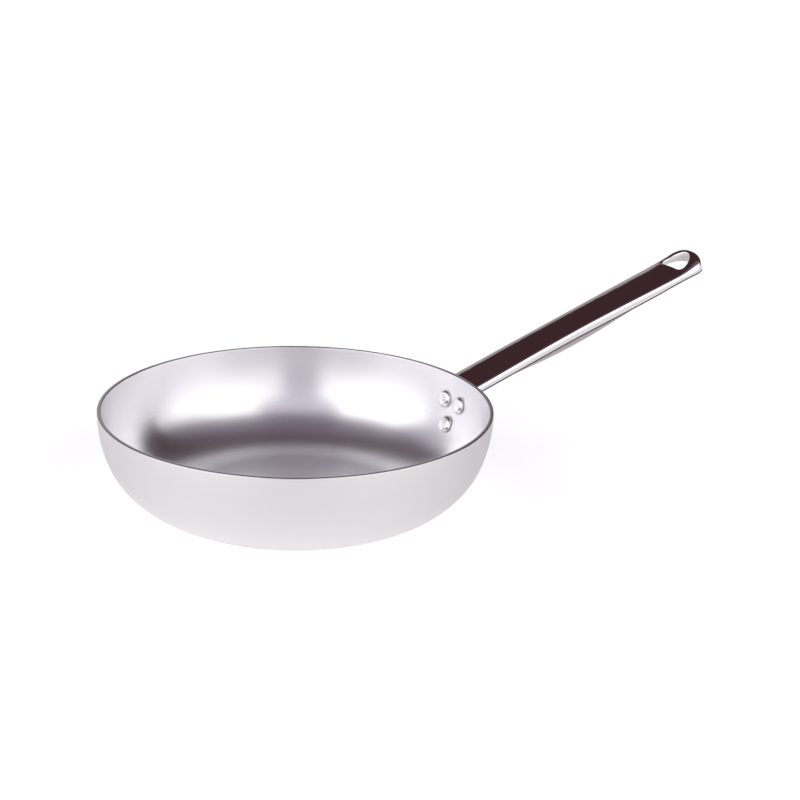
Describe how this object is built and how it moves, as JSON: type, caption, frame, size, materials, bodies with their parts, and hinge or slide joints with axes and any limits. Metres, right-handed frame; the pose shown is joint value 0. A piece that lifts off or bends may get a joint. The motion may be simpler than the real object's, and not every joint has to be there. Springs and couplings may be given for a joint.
{
  "type": "deep frying pan",
  "caption": "Deep round frying pan of spun aluminium with a flat base, curved wall and plain rim, and a riveted hollow steel handle with a hanging eye.",
  "frame": {"origin": "centre of the flat base, underneath", "axes": "+Z along the bowl's axis, up; +X from the bowl towards the handle's tip; the part is symmetric about the XZ plane"},
  "size_m": [0.5032, 0.28, 0.1401],
  "materials": {
    "bowl_aluminium": "satin, turned on the lathe in fine rings",
    "handle_steel": "mirror-polished stainless sheet",
    "bracket_steel": "pressed stainless plate, satin",
    "rivet_aluminium": "polished by the riveting tool"
  },
  "bodies": {
    "root": {"pan_body": "bowl_aluminium", "handle_upper_shell": "handle_steel", "handle_lower_shell": "handle_steel", "handle_bracket": "bracket_steel", "rivet_upper_left": "rivet_aluminium", "rivet_upper_right": "rivet_aluminium", "rivet_lower": "rivet_aluminium"}
  },
  "joints": []
}
